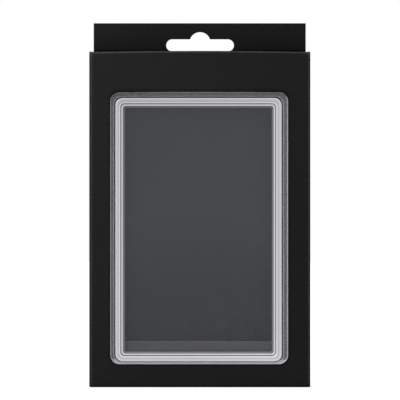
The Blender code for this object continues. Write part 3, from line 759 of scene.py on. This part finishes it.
# Painted light on the silver: a darker reflection along the bottom of the dish, and a highlight on
# the inner land of the right and lower bars with shade on the left and upper ones.
DISH_SHADE_INSET = 2.05 * MM
DISH_SHADE_WIDTH = 0.42 * MM
SHADE_LEVEL = 0.72
LAND_HIGHLIGHT_INSET = 2.8 * MM
LAND_HIGHLIGHT_WIDTH = 0.4 * MM
LAND_HIGHLIGHT_SHARE = 0.55
BARE_DARK = (0.23, 0.232, 0.236, 1)
BARE_PALE = (0.38, 0.382, 0.386, 1)
SILVER = (0.686, 0.686, 0.723, 1)
SILVER_DIM = (0.614, 0.614, 0.65, 1)
# Painted light: the silver lighter to the right and the bottom.
SILVER_LIGHT_SPAN = {0: (-0.045, 0.045, 0.95, 1.05), 2: (0.015, 0.16, 1.06, 0.94)}
SILVER_ROUGHNESS = (0.17, 0.23)
STREAK_STRETCH = (6.0, 5000.0, 1.0)
STREAK_SHARE = 0.5
STREAK_BUMP = 0.004 * MM
STREAK_STRENGTH = 0.2


def frame_radius(inset):
    """The corner's radius, which tightens evenly from the outside to the opening."""
    return FRAME_CORNER + (OPENING_CORNER - FRAME_CORNER) * inset / OPENING_INSET


def silver_finish(name):
    """Silver-coloured moulding: a metal lustre with fine streaks along the bars, which follow
    the corner coordinates, and faint clouds in the roughness. Its point attribute takes tone
    away as painted shade or, below zero, adds some as painted highlight, and straight ramps
    paint it lighter to the right and the bottom."""
    made = bpy.data.materials.new(name)
    made.use_nodes = True
    tree = made.node_tree
    lap = node(tree, "UVMap", uv_map="UVMap").outputs[0]
    stretched = node(tree, "Mapping", {"Vector": lap, "Scale": STREAK_STRETCH}).outputs[0]
    streak = node(tree, "TexNoise", {"Vector": stretched, "Scale": 1.0, "Detail": 2.0}).outputs[0]
    place = node(tree, "TexCoord").outputs["Object"]
    cloud = node(tree, "TexNoise", {"Vector": place, "Scale": 60.0, "Detail": 3.0}).outputs[0]
    share = worked(tree, "MULTIPLY", spread(tree, streak, *NOISE_SPAN, 0.0, 1.0), STREAK_SHARE)
    tone = node(tree, "Mix", {0: share, 6: SILVER, 7: SILVER_DIM}, data_type="RGBA").outputs[2]
    shade_and_highlight = node(tree, "Attribute", attribute_name="shade_and_highlight").outputs["Fac"]
    lit_lustre = spread(tree, shade_and_highlight, -1.0, 1.0, 2.0 - SHADE_LEVEL, SHADE_LEVEL, "LINEAR")
    lit_lustre = faded(tree, lit_lustre, place, SILVER_LIGHT_SPAN)
    tone = node(tree, "VectorMath", {0: tone, "Scale": lit_lustre}, operation="SCALE").outputs[0]
    rough = spread(tree, cloud, *NOISE_SPAN, *SILVER_ROUGHNESS)
    bump = {"Height": streak, "Distance": STREAK_BUMP, "Strength": STREAK_STRENGTH}
    shader = tree.nodes["Principled BSDF"]
    tree.links.new(tone, shader.inputs["Base Color"])
    tree.links.new(rough, shader.inputs["Roughness"])
    tree.links.new(node(tree, "Bump", bump).outputs[0], shader.inputs["Normal"])
    shader.inputs["Metallic"].default_value = 1.0
    return made


silver = silver_finish("silver_moulding")
bevel_grey = board_finish("bare_grey_bevel", BARE_DARK, BARE_PALE, roughness=0.25, grain=700.0)


def frame_half(name, side):
    """A frame half as the section of its bar carried round the case. side is 1 for the front
    half, whose face looks to -y, and -1 for the rear half, which is its mirror image. The point
    attribute paints light on the face. A bell curve of the inset along the bottom of the dish is
    a painted darker reflection. Less a second one on the inner land times cos a - sin a, with a
    the turn round the case, it gives a painted highlight on the right and lower bars and painted
    shade on the left and upper ones."""
    low, high = extent(name)
    face = low[1] if side == 1 else high[1]
    deep = (high[1] - low[1]) / MM
    profile = eased([
        (0.25, deep, 0.05),
        (0, deep - 0.25, 0.1),
        (0, 0, 1.0),
        (1.5, 0.16, 0.3),
        (1.95, 0.18, 0.3),
        (2.45, 0.11, 0.3),
        (3.12, 0, 0.15),
        (3.2, 0.5, 0.05),
        (3.52, 0.5, 0.05),
        (3.64, 0.06, 0.15),
        (4.37, 0.03, 0.2),
        (4.52, 0.2, 0.1),
        (5.55, 1.2, 0.1),
        (5.55, 1.4, 0.06),
        (3.6, 1.4, 0.05),
        (3.6, deep, 0.05),
    ], closed=True)
    if side == -1:
        profile = profile[::-1]
    profile[:, 1] = face + side * profile[:, 1]
    middle, half = centre_of(low, high + [0, 0, FRAME_TALLER])
    inner = profile[:, :1] > RIDGE_FROM
    middle = middle + np.where(inner, RIDGE_SHIFT, RIM_SHIFT)
    half = half - inner * RIDGE_LOWER
    inset, depth = (profile + np.roll(profile, -1, axis=0)).T / 2
    bevelled = (inset > PLATED_INSET) & (np.abs(depth - face) < deep / 3 * MM)
    grooved = (inset > GROOVE_SPAN[0]) & (inset < GROOVE_SPAN[1])
    grooved &= side * (depth - face) > GROOVE_SKIN
    radius = frame_radius(profile[:, 0])
    made = lofted(profile, middle, half, radius, name + "_moulding", closed=True)
    made.data.materials.append(silver)
    made.data.materials.append(bevel_grey)
    # The slope to the opening is grey plastic. The groove takes the same grey as painted shade.
    bevel_and_groove_shade = np.repeat(bevelled | grooved, 4 * (ARC_STEPS + 1)).astype(np.int32)
    made.data.polygons.foreach_set("material_index", bevel_and_groove_shade)
    on_face = side * (profile[:, 1] - face) < FACE_DEPTH
    # Painted darker reflection in the dish, and painted highlight and shade on the inner land.
    shade_and_highlight = on_face * near(profile[:, 0] - DISH_SHADE_INSET, DISH_SHADE_WIDTH)
    land_highlight = on_face * LAND_HIGHLIGHT_SHARE * near(profile[:, 0] - LAND_HIGHLIGHT_INSET, LAND_HIGHLIGHT_WIDTH)
    turn = (np.linspace(0, pi / 2, ARC_STEPS + 1) + np.arange(4)[:, None] * pi / 2).ravel()
    mark(made, "shade_and_highlight", shade_and_highlight[:, None] - land_highlight[:, None] * (np.cos(turn) - np.sin(turn)))
    return made


def plug(low, high, corner, name):
    """A block from low to high whose four edges along y are rounded by corner."""
    middle, half = centre_of(low, high)
    return lofted(np.array([[0, high[1]], [0, low[1]]]), middle, half, corner, name)


def cut_away(piece, plugs):
    """Cuts the plugs out of a closed piece, and then deletes them."""
    for body in plugs:
        cut = piece.modifiers.new(body.name, "BOOLEAN")
        cut.operation = "DIFFERENCE"
        cut.solver = "EXACT"
        cut.object = body
    whole = piece.data
    cut_piece = piece.evaluated_get(bpy.context.evaluated_depsgraph_get())
    piece.data = bpy.data.meshes.new_from_object(cut_piece)
    piece.modifiers.clear()
    bpy.data.meshes.remove(whole)
    for body in plugs:
        bpy.data.meshes.remove(body.data)
    piece.data.set_sharp_from_angle(angle=SMOOTH_ANGLE)


for name, body, side in (("rear_frame", "case_rear", -1), ("front_frame", "case_front", 1)):
    piece = frame_half(name, side)
    low, high = extent(name)
    meeting = high[1] if side == 1 else low[1]
    plugs = []
    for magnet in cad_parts:
        if magnet.startswith(name.split("_")[0] + "_magnet_"):
            hole_low, hole_high = extent(magnet)
            hole_low, hole_high = hole_low - HOLE_PLAY, hole_high + HOLE_PLAY
            hole_low[1] = min(hole_low[1], meeting - MM)
            hole_high[1] = max(hole_high[1], meeting + MM)
            hole_corner = (hole_high[0] - hole_low[0]) * HOLE_CORNER_SHARE
            plugs.append(plug(hole_low, hole_high, hole_corner, magnet + "_hole"))
    (middle_x, middle_z), (_, half_z) = centre_of(low, high)
    notch = np.array([NOTCH_HALF, NOTCH_DEPTH, NOTCH_INSET])
    for end in (-1, 1):
        mouth = np.array([middle_x, meeting, middle_z + end * half_z])
        plugs.append(plug(mouth - notch, mouth + notch, NOTCH_ROUND, name + "_notch"))
    cut_away(piece, plugs)
    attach(piece, body)
    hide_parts(name)


# Panes.
# Two flat clear plates with polished faces and a small round on their edges, that lie behind
# the lips of the frame halves.
PANE_CORNER = 2.0 * MM
PANE_TINT = (0.96, 0.965, 0.97, 1)

pane_clear = clear_finish("clear_polished_plate", PANE_TINT,
                          clearness=1.0, roughness=0.0, ripple_scale=15.0)
for name, body in (("rear_pane", "case_rear"), ("front_pane", "case_front")):
    low, high = extent(name)
    front_y, back_y = low[1] / MM, high[1] / MM
    profile = eased([(1, back_y, 0), (0, back_y, 0.2), (0, front_y, 0.2), (1, front_y, 0)])
    middle, half = centre_of(low, high)
    piece = lofted(profile, middle, half, PANE_CORNER - profile[:, 0] / 2, name + "_plate")
    piece.data.materials.append(pane_clear)
    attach(piece, body)
    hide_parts(name)


# Liners.
# Soft dark plastic rings pressed into the frame halves behind the panes, which the slab rests
# against.
LINER_DARK = (0.02, 0.02, 0.022, 1)
LINER_PALE = (0.05, 0.05, 0.053, 1)

soft_dark = board_finish("soft_dark_plastic", LINER_DARK, LINER_PALE, roughness=0.6, grain=700.0)
for name in ("rear_liner", "front_liner"):
    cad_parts[name].data.materials.clear()
    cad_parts[name].data.materials.append(soft_dark)


# Magnets.
# Twelve nickel-plated discs, pressed into the meeting faces of the halves in facing pairs.
NICKEL = (0.56, 0.55, 0.53, 1)
NICKEL_ROUGHNESS = (0.15, 0.35)
PIT_SCALE = 900.0

plated = bpy.data.materials.new("nickel_plating")
plated.use_nodes = True
tree = plated.node_tree
place = node(tree, "TexCoord").outputs["Object"]
pits = node(tree, "TexNoise", {"Vector": place, "Scale": PIT_SCALE, "Detail": 3.0}).outputs[0]
shader = tree.nodes["Principled BSDF"]
shader.inputs["Base Color"].default_value = NICKEL
shader.inputs["Metallic"].default_value = 1.0
tree.links.new(spread(tree, pits, *NOISE_SPAN, *NICKEL_ROUGHNESS), shader.inputs["Roughness"])
for name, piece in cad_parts.items():
    if "_magnet_" in name:
        piece.data.materials.clear()
        piece.data.materials.append(plated)


# Insert.
# A folded card that fills the place of the slab: a back panel the height of the pocket, a
# fold at its foot, and a low lip that stands behind the front pane.
INSERT_SHEET = 0.5 * MM
INSERT_FOLD = 0.8 * MM
INSERT_FOLD_STEPS = 7
INSERT_COLUMNS = 9
LIP_TOP = 25.25 * MM
LIP_ROWS = np.array([0.0, 0.3, 0.7]) * MM
LIP_SKIN = 0.05 * MM
LIP_FOOT = 0.1 * MM
CARD_DARK = (0.0087, 0.011, 0.0195, 1)
CARD_FIBRE = (0.05, 0.05, 0.055, 1)
CARD_BACK = (0.069, 0.068, 0.079, 1)
CARD_BACK_FIBRE = (0.2, 0.2, 0.206, 1)
# Painted highlight along the lip's top edge, and the lip's foot painted lighter against its shade.
LIP_HIGHLIGHT_WIDTH = 0.3 * MM
LIP_FOOT_LIGHT = 0.14
CARD_CUT = (0.08, 0.08, 0.084, 1)
CARD_CUT_FIBRE = (0.14, 0.14, 0.145, 1)
CARD_GRAIN = 2500.0

low, high = extent("insert_card")
turn = np.linspace(0, pi / 2, INSERT_FOLD_STEPS)
fold_rise = low[2] + INSERT_FOLD
path = np.concatenate([
    np.column_stack([np.full(len(LIP_ROWS), low[1]), LIP_TOP - LIP_ROWS]),
    np.column_stack([low[1] + INSERT_FOLD - INSERT_FOLD * np.cos(turn),
                     fold_rise - INSERT_FOLD * np.sin(turn)]),
    np.column_stack([high[1] - INSERT_FOLD + INSERT_FOLD * np.sin(turn),
                     fold_rise - INSERT_FOLD * np.cos(turn)]),
    [[high[1], high[2]]],
])
across = np.linspace(low[0], high[0], INSERT_COLUMNS)
card_grid = points_at(across, path[:, :1], path[:, 1:])
card = stitched([(card_grid[::-1], False)], "insert_card_fold")
places = rows_of(card, "co")
# The lip's top edge gets a painted highlight, and its foot is painted lighter against the shade
# there.
at_lip_foot = (places[:, 1] < low[1] + LIP_SKIN) & (places[:, 2] < fold_rise + LIP_FOOT)
mark(card, "wear_and_highlight", near(places[:, 2] - LIP_TOP, LIP_HIGHLIGHT_WIDTH) + LIP_FOOT_LIGHT * at_lip_foot)
for name, dark, pale, roughness, clouds in (
    ("grey_card_back", CARD_BACK, CARD_BACK_FIBRE, 0.7, {}),
    ("grey_card_cut_edge", CARD_CUT, CARD_CUT_FIBRE, 0.8, {}),
    ("dark_card_face", CARD_DARK, CARD_FIBRE, 0.7, {"clouds": 260.0, "clouding": 0.2}),
):
    card.data.materials.append(board_finish(name, dark, pale, roughness, CARD_GRAIN, **clouds))
thicken(card, INSERT_SHEET, inside=2)
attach(card, "insert")
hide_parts("insert_card")
